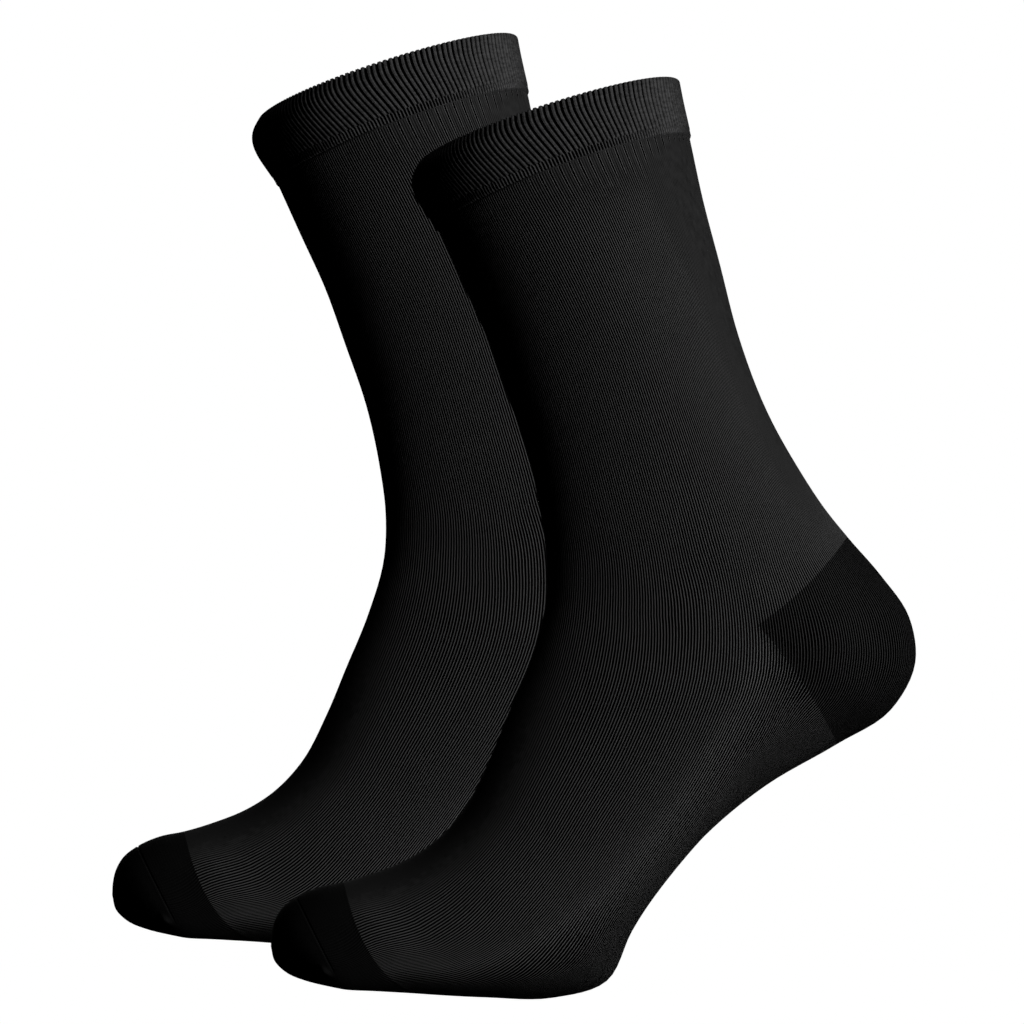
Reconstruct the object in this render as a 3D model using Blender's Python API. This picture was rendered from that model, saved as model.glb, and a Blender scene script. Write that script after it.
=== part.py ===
"""Pair of plain knitted crew socks, filled out as on two feet with the heels raised.

Metres, +Z up. Both socks point their toes along -X. The origin is the middle of
the near sock's mouth, and the far sock is the same sock moved by FAR_SOCK.

The knit of a sock runs in courses: closed rings that go round the leg, turn with
the ankle and go round the foot to the toe. Seen from the side, each course here
passes through three points (front, side and back), and it is as wide as its half
width says. The heel pocket is a fan of half courses that all meet at the ankle,
in one corner on each side.
"""
import math
from collections import namedtuple

import bmesh
import bpy
from mathutils import Vector

MM = 0.001

# Driving dimensions
WALL = 1.3 * MM          # plain knit of the leg, foot, heel and toe
CUFF_WALL = 1.7 * MM     # the cuff is knitted double
SEAM_GAP = 0.36 * MM     # between the pieces, along the cloth
COLUMNS = 32             # points round a course, a multiple of 4
RIBS = 160               # ribs round one cuff
RIB_HEIGHT = 0.7 * MM
RIB_FOOT = 0.2 * MM      # the valleys between ribs stand this far off the leg
RIB_DRIFT = math.radians(6.0)    # the ribs slant round the sides, from rim to hem
CUFF_LINES = (0, 1, 1.5, 2)     # the cuff's rings, in courses from the rim
LEG_STEP = 0.5           # rings of the leg, heel and foot, in courses
SIDE_BLEND = 0.3         # how far back from its side a course follows its front
FAR_SOCK = Vector((-54, 130, 16)) * MM

# One row for each course of the leg, foot and toe, in millimetres from the middle
# of the mouth. front, side and back are seen from the side, x towards the heel and
# z up. corner is 0 for a course that turns smoothly at the side and 1 for one that
# is straight on both sides of it. lean is how far the leg leans sideways, in degrees.
Course = namedtuple(
    "Course",
    "name front_x front_z side_x side_z back_x back_z half_width corner lean",
)
COURSES = [
    Course("rim", -43.0, -13.5, 0.0, 0.0, 42.5, 14.2, 43.5, 0, 9),
    Course("shoulder", -45.1, -17.5, -1.0, -5.0, 43.6, 8.5, 45.5, 0, 8.5),
    Course("hem", -37.1, -35.2, 4.0, -20.0, 46.5, -4.5, 45.0, 0, 8),
    Course("upper_leg", -29.5, -52.0, 11.5, -38.5, 51.0, -25.5, 44.0, 0, 8),
    Course("calf", -21.5, -69.5, 20.0, -57.5, 56.5, -46.5, 42.0, 0, 8),
    Course("mid_leg", -14.5, -89.0, 29.5, -78.5, 63.0, -71.5, 39.5, 0, 8),
    Course("lower_leg", -7.5, -109.5, 39.0, -102.5, 72.5, -96.5, 37.0, 0.05, 7.5),
    Course("above_ankle", -3.0, -130.0, 49.5, -127.5, 83.0, -115.5, 35.0, 0.15, 6),
    Course("ankle", -1.0, -146.0, 59.5, -147.0, 91.5, -128.5, 34.0, 0.3, 3.5),
    Course("heel_top", -1.5, -160.5, 69.0, -167.0, 99.5, -138.5, 33.5, 0.5, 1),
    Course("heel_low", -1.5, -160.5, 69.0, -167.0, 95.5, -206.5, 33.5, 0.5, 1),
    Course("arch", -7.0, -180.0, 61.5, -188.5, 71.5, -220.5, 34.5, 0.2, 0),
    Course("mid_arch", -14.5, -198.0, 46.5, -215.5, 51.0, -237.5, 36.5, 0, 0),
    Course("fore_arch", -21.0, -213.5, 30.0, -237.5, 37.5, -253.0, 39.5, 0, 0),
    Course("ball_back", -29.5, -229.5, 13.5, -255.5, 27.2, -268.8, 43.0, 0, 0),
    Course("ball", -39.0, -239.5, -1.5, -267.0, 18.8, -285.4, 45.0, 0, 0),
    Course("ball_front", -48.5, -245.5, -16.5, -274.5, 0.8, -291.0, 45.0, 0, 0),
    Course("toe_roots", -58.5, -249.5, -33.5, -278.5, -21.0, -290.9, 43.5, 0, 0),
    Course("toe_edge", -68.5, -252.5, -54.5, -280.0, -43.5, -289.8, 41.0, 0, 0),
    Course("mid_toe", -77.0, -254.3, -63.5, -281.5, -56.5, -288.5, 39.0, 0, 0),
    Course("toe_seam", -84.5, -257.6, -71.5, -283.0, -69.0, -287.0, 36.0, 0, 0),
    Course("tip_top", -89.2, -261.2, -78.5, -280.5, -80.5, -285.7, 31.5, 0, 0),
    Course("tip_front", -91.7, -265.4, -86.0, -277.0, -88.6, -282.2, 23.5, 0, 0),
    Course("tip_small", -92.8, -270.0, -90.5, -274.5, -91.8, -278.8, 13.0, 0, 0),
    Course("tip", -93.0, -274.0, -93.0, -274.0, -93.0, -274.0, 0.0, 0, 0),
]

# The half courses of the heel pocket, from the leg round to the sole: only the
# place of the back point changes.
HeelCourse = namedtuple("HeelCourse", "name back_x back_z")
HEEL_COURSES = [
    HeelCourse("heel_upper", 110.0, -150.5),
    HeelCourse("heel_back", 119.5, -164.5),
    HeelCourse("heel_end", 121.5, -179.5),
    HeelCourse("heel_under", 113.5, -195.0),
]

# name: (red, green, blue), roughness
FINISHES = {
    "ribbed_knit": ((0.022, 0.022, 0.023), 0.9),
    "plain_knit": ((0.026, 0.026, 0.027), 0.92),
    "dense_knit": ((0.012, 0.012, 0.013), 0.95),
}
FINISH_OF_PIECE = {
    "cuff": "ribbed_knit",
    "leg": "plain_knit",
    "heel": "dense_knit",
    "foot": "plain_knit",
    "toe": "dense_knit",
}


def clear_scene():
    """Remove whatever the scene holds."""
    for thing in list(bpy.data.objects):
        bpy.data.objects.remove(thing, do_unlink=True)


def make_finish(name):
    """Return the material of one kind of knit."""
    if name in bpy.data.materials:
        return bpy.data.materials[name]
    colour, roughness = FINISHES[name]
    material = bpy.data.materials.new(name)
    material.use_nodes = True
    shader = material.node_tree.nodes["Principled BSDF"]
    shader.inputs["Base Color"].default_value = (*colour, 1)
    shader.inputs["Roughness"].default_value = roughness
    shader.inputs["Metallic"].default_value = 0
    material.diffuse_color = (*colour, 1)
    return material


def in_profile(x, z):
    """Return a point of the plane that halves the sock, from millimetres."""
    return Vector((x * MM, 0, z * MM))


def all_courses():
    """Return every course from the rim to the tip, the heel's among them."""
    courses = []
    for row in COURSES:
        courses.append(row)
        if row.name != "heel_top":
            continue
        for heel_row in HEEL_COURSES:
            courses.append(
                row._replace(name=heel_row.name, back_x=heel_row.back_x, back_z=heel_row.back_z)
            )
    return courses


def smooth_line(points, part):
    """Return the point a part of the way from the second to the third of four."""
    before, start, end, after = points
    span = (end - start).length
    if span < MM / 1000:
        return start
    direct = (end - start) / span
    slopes = []
    for other_span, other_way in (
        ((start - before).length, start - before),
        ((after - end).length, after - end),
    ):
        if other_span < MM / 1000:
            slopes.append(direct * span)
            continue
        mixed = other_way * (span / other_span) + direct * other_span
        slopes.append(mixed * (span / (span + other_span)))
    square = part * part
    cube = square * part
    return (
        start * (2 * cube - 3 * square + 1)
        + slopes[0] * (cube - 2 * square + part)
        + end * (3 * square - 2 * cube)
        + slopes[1] * (cube - square)
    )


class Knit:
    """The courses of one sock, and the smooth skin that they span."""

    def __init__(self):
        self.courses = all_courses()
        self.row_of = {course.name: row for row, course in enumerate(self.courses)}
        self.last = len(self.courses) - 1
        self.centres = self.sideways_centres()
        self.back_bows = [self.bow(course) for course in self.courses]
        self.front_bows = list(self.back_bows)
        heel_rows = range(self.row_of["heel_top"], self.row_of["heel_low"] + 1)
        shared_bow = (self.back_bows[heel_rows[0]] + self.back_bows[heel_rows[-1]]) / 2
        for row in heel_rows:
            self.front_bows[row] = shared_bow

    def sideways_centres(self):
        """Return how far each course is moved sideways by the leg's lean."""
        centres = [0]
        for upper, lower in zip(self.courses, self.courses[1:]):
            lean = math.radians((upper.lean + lower.lean) / 2)
            drop = (upper.side_z - lower.side_z) * MM
            centres.append(centres[-1] - drop * math.tan(lean))
        return centres

    def bow(self, course):
        """Return how far a course bends out of straight lines to its side."""
        front = in_profile(course.front_x, course.front_z)
        side = in_profile(course.side_x, course.side_z)
        back = in_profile(course.back_x, course.back_z)
        return ((front + back) / 2 - side) * (1 - course.corner)

    def on_course(self, row, angle):
        """Return a course's point at an angle: 0 front, 90 degrees near side, 180 back."""
        course = self.courses[row]
        side = in_profile(course.side_x, course.side_z)
        if math.cos(angle) >= 0:
            end = in_profile(course.front_x, course.front_z)
            bow = self.front_bows[row]
        else:
            end = in_profile(course.back_x, course.back_z)
            bow = self.back_bows[row]
        reach = abs(math.cos(angle))
        point = side + (end - side) * reach - bow * reach * (1 - reach)
        out = course.half_width * MM * math.sin(angle)
        lean = math.radians(course.lean)
        return point + Vector((0, self.centres[row] - out * math.cos(lean), out * math.sin(lean)))

    def at(self, place, angle):
        """Return the skin's point at a place counted in courses from the rim."""
        row = min(int(place), self.last)
        if row == place:
            return self.on_course(row, angle)
        heel_top = self.row_of["heel_top"]
        heel_low = self.row_of["heel_low"]
        rows = [max(row - 1, 0), row, row + 1, min(row + 2, self.last)]
        along_back = smooth_line([self.on_course(near, angle) for near in rows], place - row)
        if heel_top <= row < heel_low:
            return along_back
        if row == heel_top - 1:
            rows[3] = heel_low + 1
        if row == heel_low:
            rows[0] = heel_top - 1
        along_front = smooth_line([self.on_course(near, angle) for near in rows], place - row)
        share = min(max(-math.cos(angle) / SIDE_BLEND, 0), 1)
        return along_front.lerp(along_back, share)

    def outward(self, place, angle):
        """Return the direction away from the leg at a point of the cuff."""
        step = 0.02
        round_way = self.at(place, angle + step) - self.at(place, angle - step)
        down_way = self.at(place + step, angle) - self.at(max(place - step, 0), angle)
        return down_way.cross(round_way).normalized()


def angle_of(column, columns):
    """Return the angle of one of the points that divide a course evenly."""
    return 2 * math.pi * column / columns


def sheet_places(knit):
    """Return where the rings of the sheet lie, from the hem to the tip."""
    places = []
    for row in range(knit.row_of["hem"], knit.last + 1):
        places.append(row)
        if row < knit.row_of["toe_edge"]:
            places.append(row + LEG_STEP)
    return places


def sheet_point(knit, sheet, made, place, column):
    """Return the sheet's point at a place and column, shared where courses meet."""
    heel_top = knit.row_of["heel_top"]
    on_heel = heel_top < place <= knit.row_of["heel_low"]
    in_front = column <= COLUMNS // 4 or column >= COLUMNS * 3 // 4
    if on_heel and in_front:
        place = heel_top
    if place == knit.last:
        column = 0
    if (place, column) not in made:
        point = knit.at(place, angle_of(column, COLUMNS))
        made[place, column] = sheet.verts.new(point)
    return made[place, column]


def knit_sheet(knit):
    """Return the sock below its hem as one sheet, and the faces of each piece."""
    sheet = bmesh.new()
    made = {}
    faces = {"leg": [], "heel": [], "foot": [], "toe": []}
    first_places = (
        ("toe", knit.row_of["toe_edge"]),
        ("foot", knit.row_of["heel_low"]),
        ("heel", knit.row_of["heel_top"]),
        ("leg", knit.row_of["hem"]),
    )
    places = sheet_places(knit)
    for place, next_place in zip(places, places[1:]):
        piece = next(name for name, first in first_places if place >= first)
        for column in range(COLUMNS):
            beside = (column + 1) % COLUMNS
            corners = [
                sheet_point(knit, sheet, made, place, column),
                sheet_point(knit, sheet, made, next_place, column),
                sheet_point(knit, sheet, made, next_place, beside),
                sheet_point(knit, sheet, made, place, beside),
            ]
            corners = list(dict.fromkeys(corners))
            if len(corners) > 2:
                faces[piece].append(sheet.faces.new(corners))
    sheet.normal_update()
    return sheet, faces


def edge_loops(faces):
    """Return the face corners that start an edge where the piece ends."""
    faces_here = set(faces)
    loops = []
    for face in faces:
        for loop in face.loops:
            if sum(other in faces_here for other in loop.edge.link_faces) == 1:
                loops.append(loop)
    return loops


def clear_of_seams(faces):
    """Return where each point of a piece lies, half a seam gap in from its edges."""
    inward = {}
    for loop in edge_loops(faces):
        start = loop.vert
        end = loop.link_loop_next.vert
        for vert in (start, end):
            away = vert.normal.cross(end.co - start.co).normalized()
            inward.setdefault(vert, []).append(away)
    places = {vert: vert.co.copy() for face in faces for vert in face.verts}
    for vert, ways in inward.items():
        middle = sum(ways, Vector()).normalized()
        places[vert] += middle * (SEAM_GAP / 2 / middle.dot(ways[0]))
    return places


def wall_mesh(name, faces):
    """Return a piece of the sheet as a wall: outer face, inner face and edges."""
    places = clear_of_seams(faces)
    wall = bmesh.new()
    outer = {vert: wall.verts.new(place) for vert, place in places.items()}
    inner = {vert: wall.verts.new(place - vert.normal * WALL) for vert, place in places.items()}
    for face in faces:
        wall.faces.new([outer[vert] for vert in face.verts])
        wall.faces.new([inner[vert] for vert in reversed(face.verts)])
    for loop in edge_loops(faces):
        start = loop.vert
        end = loop.link_loop_next.vert
        wall.faces.new([outer[end], outer[start], inner[start], inner[end]])
    return finished_mesh(name, wall)


def rib_angle(knit, place, column):
    """Return where a rib has drifted to: it slants most at the sides of the leg."""
    angle = angle_of(column, 2 * RIBS)
    down = place / knit.row_of["hem"]
    drift = RIB_DRIFT * (down * down * (3 - 2 * down) - 0.5)
    return angle + drift * math.sin(angle) * abs(math.sin(angle))


def ribbed_point(knit, place, line, column):
    """Return a point of the cuff's outer face, on a rib or in the valley beside it."""
    height = RIB_FOOT
    if column % 2 == 0 and place > 0:
        height += RIB_HEIGHT
    angle = rib_angle(knit, place, column)
    return knit.at(line, angle) + knit.outward(line, angle) * height


def plain_point(knit, line, column):
    """Return a point of the cuff's inner face."""
    angle = angle_of(column, COLUMNS)
    return knit.at(line, angle) - knit.outward(line, angle) * CUFF_WALL


def cuff_mesh(knit):
    """Return the cuff: ribs raised in its outer points, over a plain inside."""
    cuff = bmesh.new()
    hem = knit.row_of["hem"]
    side = math.pi / 2
    hem_course = (knit.at(hem - 1, side) - knit.at(hem, side)).length
    outer_rings = []
    inner_rings = []
    for place in CUFF_LINES:
        line = min(place, hem - SEAM_GAP / 2 / hem_course)
        outer = [ribbed_point(knit, place, line, column) for column in range(2 * RIBS)]
        inner = [plain_point(knit, line, column) for column in range(COLUMNS)]
        outer_rings.append([cuff.verts.new(point) for point in outer])
        inner_rings.append([cuff.verts.new(point) for point in inner])
    for rings in (outer_rings, inner_rings):
        for upper, lower in zip(rings, rings[1:]):
            for column in range(len(upper)):
                beside = (column + 1) % len(upper)
                cuff.faces.new([upper[column], lower[column], lower[beside], upper[beside]])
    stride = 2 * RIBS // COLUMNS
    for outer, inner in ((outer_rings[0], inner_rings[0]), (outer_rings[-1], inner_rings[-1])):
        for column in range(COLUMNS):
            first = column * stride
            edge = [outer[(first + step) % len(outer)] for step in range(stride + 1)]
            cuff.faces.new(edge + [inner[(column + 1) % COLUMNS], inner[column]])
    return finished_mesh("cuff", cuff)


def finished_mesh(name, shape):
    """Turn a closed bmesh into a smooth mesh with its faces pointing out."""
    bmesh.ops.recalc_face_normals(shape, faces=shape.faces)
    mesh = bpy.data.meshes.new(name)
    shape.to_mesh(mesh)
    shape.free()
    mesh.shade_smooth()
    mesh.set_sharp_from_angle(angle=math.radians(40))
    mesh.materials.append(make_finish(FINISH_OF_PIECE[name]))
    return mesh


def place_sock(side, location, meshes, collection):
    """Put one sock's pieces in the scene, carried by an empty at its mouth."""
    mouth = bpy.data.objects.new(side + "_sock", None)
    mouth.location = location
    collection.objects.link(mouth)
    for mesh in meshes:
        piece = bpy.data.objects.new(side + "_" + mesh.name, mesh)
        piece.parent = mouth
        collection.objects.link(piece)


def main():
    """Build both socks."""
    clear_scene()
    collection = bpy.data.collections.new("Pair_of_socks")
    bpy.context.scene.collection.children.link(collection)
    knit = Knit()
    sheet, faces_of_piece = knit_sheet(knit)
    meshes = [cuff_mesh(knit)]
    for name, faces in faces_of_piece.items():
        meshes.append(wall_mesh(name, faces))
    sheet.free()
    place_sock("near", Vector((0, 0, 0)), meshes, collection)
    place_sock("far", FAR_SOCK, meshes, collection)


main()
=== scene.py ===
import math

import bpy
import numpy as np
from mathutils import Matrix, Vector


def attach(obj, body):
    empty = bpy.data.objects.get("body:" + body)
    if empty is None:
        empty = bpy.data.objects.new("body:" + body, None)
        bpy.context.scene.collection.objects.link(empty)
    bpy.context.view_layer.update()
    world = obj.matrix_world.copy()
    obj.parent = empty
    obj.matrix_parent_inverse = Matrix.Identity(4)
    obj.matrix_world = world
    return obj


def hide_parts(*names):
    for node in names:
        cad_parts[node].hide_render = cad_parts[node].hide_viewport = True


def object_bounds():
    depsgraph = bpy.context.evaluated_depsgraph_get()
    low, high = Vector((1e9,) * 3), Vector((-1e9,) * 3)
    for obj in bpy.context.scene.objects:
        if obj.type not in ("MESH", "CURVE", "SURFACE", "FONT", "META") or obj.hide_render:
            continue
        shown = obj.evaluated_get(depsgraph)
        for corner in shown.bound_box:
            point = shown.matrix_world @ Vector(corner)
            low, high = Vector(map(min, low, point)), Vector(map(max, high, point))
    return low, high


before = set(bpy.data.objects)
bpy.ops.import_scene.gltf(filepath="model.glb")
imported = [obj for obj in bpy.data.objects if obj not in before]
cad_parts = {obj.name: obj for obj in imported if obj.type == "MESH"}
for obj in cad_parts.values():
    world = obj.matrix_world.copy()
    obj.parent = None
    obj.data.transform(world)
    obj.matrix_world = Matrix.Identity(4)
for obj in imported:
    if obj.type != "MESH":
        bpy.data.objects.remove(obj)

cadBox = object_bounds()
print("frame loaded:", len(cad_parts), "nodes")

# the form of one sock: closed courses of knitting go round the leg, turn with the ankle and go
# round the foot; mm from the middle of the near sock's mouth, x towards the heel, z up
sockForm = {
    # name, front x z, side x z, back x z, half width, corner, sideways lean in degrees; a corner
    # of 0 turns smoothly at the side, and one of 1 runs straight on both sides of it
    "courses": [
        ("rim", -43.0, -13.5, 0.0, 0.0, 42.5, 14.2, 43.5, 0, 9),
        ("shoulder", -45.1, -17.5, -1.0, -5.0, 43.6, 8.5, 45.5, 0, 8.5),
        ("hem", -37.1, -35.2, 4.0, -20.0, 46.5, -4.5, 45.0, 0, 8),
        ("upperLeg", -29.5, -52.0, 11.5, -38.5, 51.0, -25.5, 44.0, 0, 8),
        ("calf", -21.5, -69.5, 20.0, -57.5, 56.5, -46.5, 42.0, 0, 8),
        ("midLeg", -14.5, -89.0, 29.5, -78.5, 63.0, -71.5, 39.5, 0, 8),
        ("lowerLeg", -7.5, -109.5, 39.0, -102.5, 72.5, -96.5, 37.0, 0.05, 7.5),
        ("aboveAnkle", -3.0, -130.0, 49.5, -127.5, 83.0, -115.5, 35.0, 0.15, 6),
        ("ankle", -1.0, -146.0, 59.5, -147.0, 91.5, -128.5, 34.0, 0.3, 3.5),
        ("heelTop", -1.5, -160.5, 69.0, -167.5, 98.9, -137.7, 33.5, 0.7, 1),
        ("heelUpper", -1.5, -160.5, 69.0, -167.5, 110.0, -150.5, 33.5, 0.7, 1),
        ("heelBack", -1.5, -160.5, 69.0, -167.5, 119.5, -164.5, 33.5, 0.7, 1),
        ("heelEnd", -1.5, -160.5, 69.0, -167.5, 121.5, -179.5, 33.5, 0.7, 1),
        ("heelUnder", -1.5, -160.5, 69.0, -167.5, 113.5, -195.0, 33.5, 0.7, 1),
        ("heelLow", -1.5, -160.5, 69.0, -167.5, 95.5, -206.5, 33.5, 0.75, 1),
        ("arch", -7.0, -180.0, 61.5, -188.5, 71.5, -220.5, 34.5, 0.2, 0),
        ("midArch", -14.5, -198.0, 46.5, -215.5, 51.0, -237.5, 36.5, 0, 0),
        ("foreArch", -21.0, -213.5, 30.0, -237.5, 37.5, -253.0, 39.5, 0, 0),
        ("ballBack", -29.5, -229.5, 13.5, -255.5, 27.2, -268.8, 43.0, 0, 0),
        ("ball", -39.0, -239.5, -1.5, -267.0, 18.8, -285.4, 45.0, 0, 0),
        ("ballFront", -48.5, -245.5, -16.5, -274.5, 0.8, -291.0, 45.0, 0, 0),
        ("toeRoots", -58.5, -249.5, -33.5, -278.5, -21.0, -290.9, 43.5, 0, 0),
        ("toeEdge", -68.7, -252.6, -57.3, -279.6, -40.0, -289.9, 41.0, 0, 0),
        ("midToe", -77.0, -254.3, -63.5, -281.5, -56.5, -288.5, 39.0, 0, 0),
        ("toeSeam", -84.5, -257.6, -71.5, -283.0, -69.0, -287.0, 36.0, 0, 0),
        ("tipTop", -89.2, -261.2, -78.5, -280.5, -80.5, -285.7, 31.5, 0, 0),
        ("tipFront", -91.7, -265.4, -86.0, -277.0, -88.6, -282.2, 23.5, 0, 0),
        ("tipSmall", -92.8, -270.0, -90.5, -274.5, -91.8, -278.8, 13.0, 0, 0),
        ("tip", -93.0, -274.0, -93.0, -274.0, -93.0, -274.0, 0.0, 0, 0),
    ],
    "sideBlend": 0.3,        # how far back from its side a course follows its front
    "placeStep": 0.02,       # courses and radians over which the skin's slope is taken
    "angleStep": 0.004,
    "places": {"near": (0, 0, 0), "far": (-0.054, 0.130, 0.016)},    # metres
}

mm = 0.001
samePoint = 1e-6             # metres: rings this close together meet there
noArea = 1e-12               # of the skin where it closes in a point
notZero = 1e-9
courses = sockForm["courses"]
rowOf = {course[0]: row for row, course in enumerate(courses)}
lastRow = len(courses) - 1
frontPoints = np.array([(c[1], 0, c[2]) for c in courses]) * mm
sidePoints = np.array([(c[3], 0, c[4]) for c in courses]) * mm
backPoints = np.array([(c[5], 0, c[6]) for c in courses]) * mm
halfWidths = np.array([c[7] for c in courses]) * mm
leans = np.radians([c[9] for c in courses])
cornerShares = np.array([c[8] for c in courses])[:, None]
backBows = ((frontPoints + backPoints) / 2 - sidePoints) * (1 - cornerShares)
frontBows = backBows.copy()
heelRows = slice(rowOf["heelTop"], rowOf["heelLow"] + 1)
frontBows[heelRows] = (backBows[rowOf["heelTop"]] + backBows[rowOf["heelLow"]]) / 2
drops = sidePoints[:-1, 2] - sidePoints[1:, 2]
centres = np.concatenate([[0], -np.cumsum(drops * np.tan((leans[:-1] + leans[1:]) / 2))])


def courseRing(row, angles):
    # angle 0 is the front of the leg, 90 degrees the near side, 180 the back
    reach = np.cos(angles)[:, None]
    inFront = reach >= 0
    end = np.where(inFront, frontPoints[row], backPoints[row])
    bow = np.where(inFront, frontBows[row], backBows[row])
    reach = np.abs(reach)
    ring = sidePoints[row] + (end - sidePoints[row]) * reach - bow * reach * (1 - reach)
    out = halfWidths[row] * np.sin(angles)
    ring[:, 1] += centres[row] - out * math.cos(leans[row])
    ring[:, 2] += out * math.sin(leans[row])
    return ring


def easeAlong(before, start, end, after, part):
    # a smooth line through four rings, from the second to the third
    def length(v):
        return np.linalg.norm(v, axis=1)[:, None]

    span = length(end - start)
    safeSpan = np.maximum(span, notZero)
    slopes = []
    for way in (start - before, after - end):
        other = length(way)
        mixed = way * span / np.maximum(other, notZero) + (end - start) * other / safeSpan
        slope = mixed * span / np.maximum(span + other, notZero)
        slopes.append(np.where(other < samePoint, end - start, slope))
    a, b = part * part, part * part * part
    ring = start * (2 * b - 3 * a + 1) + slopes[0] * (b - 2 * a + part)
    ring += end * (3 * a - 2 * b) + slopes[1] * (b - a)
    return np.where(span < samePoint, start, ring)


def ringAt(place, angles):
    place = min(max(place, 0), lastRow)
    row = min(int(place), lastRow - 1)
    part = place - row
    rows = [max(row - 1, 0), row, row + 1, min(row + 2, lastRow)]
    alongBack = easeAlong(*[courseRing(r, angles) for r in rows], part)
    if rowOf["heelTop"] <= row < rowOf["heelLow"]:
        return alongBack
    if row == rowOf["heelTop"] - 1:
        rows[3] = rowOf["heelLow"] + 1
    if row == rowOf["heelLow"]:
        rows[0] = rowOf["heelTop"] - 1
    alongFront = easeAlong(*[courseRing(r, angles) for r in rows], part)
    share = np.clip(-np.cos(angles) / sockForm["sideBlend"], 0, 1)[:, None]
    return alongFront * (1 - share) + alongBack * share


def skinAt(place, angles):
    # points of the skin and the directions out of it
    points = ringAt(place, angles)
    placeStep, angleStep = sockForm["placeStep"], sockForm["angleStep"]
    down = ringAt(place + placeStep, angles) - ringAt(place - placeStep, angles)
    turn = ringAt(place, angles + angleStep) - ringAt(place, angles - angleStep)
    across = np.cross(down, turn)
    size = np.linalg.norm(across, axis=1)[:, None]
    toes = np.array((-1.0, 0, 0))
    return points, np.where(size < noArea, toes, across / np.maximum(size, noArea))


def smoothStep(x):
    x = np.clip(x, 0, 1)
    return x * x * (3 - 2 * x)


def eased(value, start, length):
    # 0 up to the start and 1 from this length past it
    return smoothStep((value - start) / length)


def turnOf(angles):
    # degrees from the front, on either side
    return np.degrees(np.minimum(angles, 2 * math.pi - angles))


# the lines of the knit are the two arms of the stitches of each wale; they slide round the sock
# on their way down, under the foot towards the toes, and run straight past the heel's corner
knitLines = {
    "count": 320,
    "samples": 3,            # points across one line, the first in the valley before it
    "angles": 481,           # over half a round, at which the lines are worked out
    "cornerColumn": 276,     # the column that meets the heel's corner
    # round that corner the lines lie this far apart, lean forward and bow to this radius
    "cornerPitch": 0.943 * mm,
    "cornerLean": math.radians(5.7),
    "cornerBow": 71 * mm,
    "cornerSpread": 5.1,     # lines more to a pitch for each metre up, and fewer below
    "cornerFlare": 136,      # lines more to a pitch for each square metre, up or down
    # this alone counts nearer than the first, and the slides alone past the second
    "cornerReach": (14 * mm, 34 * mm),
    # course, how many degrees the knit is ahead of the angle, at 45, 90 and 135 degrees from the front
    "slides": [
        ("rim", 2.0, 1.5, 3.0),
        ("shoulder", 2.0, 1.5, 3.0),
        ("hem", 2.0, 1.5, 3.0),
        ("upperLeg", 0.5, -1.0, 1.5),
        ("calf", -1.0, -1.8, 1.8),
        ("midLeg", -2.6, -1.2, 2.6),
        ("lowerLeg", -2.0, -0.2, 3.6),
        ("aboveAnkle", -1.5, 2.2, 5.0),
        ("ankle", -0.2, 6.8, 6.6),
        ("heelTop", 1.7, 11.0, 6.5),
        ("heelUpper", 1.7, 11.0, 11.0),
        ("heelBack", 1.7, 11.0, 14.0),
        ("heelEnd", 1.7, 11.0, 13.4),
        ("heelUnder", 1.7, 11.0, 8.0),
        ("heelLow", 1.7, 11.0, -2.4),
        ("arch", 1.4, 6.6, -6.0),
        ("midArch", 0.4, 3.6, -7.4),
        ("foreArch", -1.2, 1.0, -9.4),
        ("ballBack", -3.6, -3.5, -13.8),
        ("ball", -7.4, -10.5, -20.8),
        ("ballFront", -10.6, -18.0, -29.0),
        ("toeRoots", -13.2, -25.3, -36.0),
        ("toeEdge", -16.5, -32.5, -41.0),
        ("midToe", -18.0, -35.0, -42.0),
        ("toeSeam", -18.0, -35.0, -42.0),
        ("tipTop", -17.0, -33.0, -40.0),
        ("tipFront", -16.0, -31.0, -38.0),
        ("tipSmall", -15.0, -30.0, -36.0),
        ("tip", -15.0, -30.0, -36.0),
    ],
}
slideRows = np.radians([row[1:] for row in knitLines["slides"]])
columnCount = knitLines["count"] * knitLines["samples"]
corner = knitLines["cornerColumn"]
halfAngles = np.linspace(0, math.pi, knitLines["angles"])
sideLobe = np.sin(halfAngles)
doubleLobe = np.sin(2 * halfAngles) ** 2
frontLobe = np.where(halfAngles < math.pi / 2, doubleLobe, 0)
backLobe = np.where(halfAngles > math.pi / 2, doubleLobe, 0)
cornerPoint = sidePoints[rowOf["heelTop"]]


def slidesAt(place):
    # smooth along the leg, along the heel and along the foot, each by itself
    ends = [0, rowOf["heelTop"], rowOf["heelLow"], lastRow]
    part = next(k for k in range(3) if place <= ends[k + 1])
    row = min(max(int(place), ends[part]), ends[part + 1] - 1)
    a, b, c, d = [slideRows[min(max(r, ends[part]), ends[part + 1])] for r in range(row - 1, row + 3)]
    t = min(max(place - row, 0), 1)
    bend, twist = 2 * a - 5 * b + 4 * c - d, 3 * b - a - 3 * c + d
    return 0.5 * (2 * b + (c - a) * t + bend * t * t + twist * t ** 3)


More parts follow.
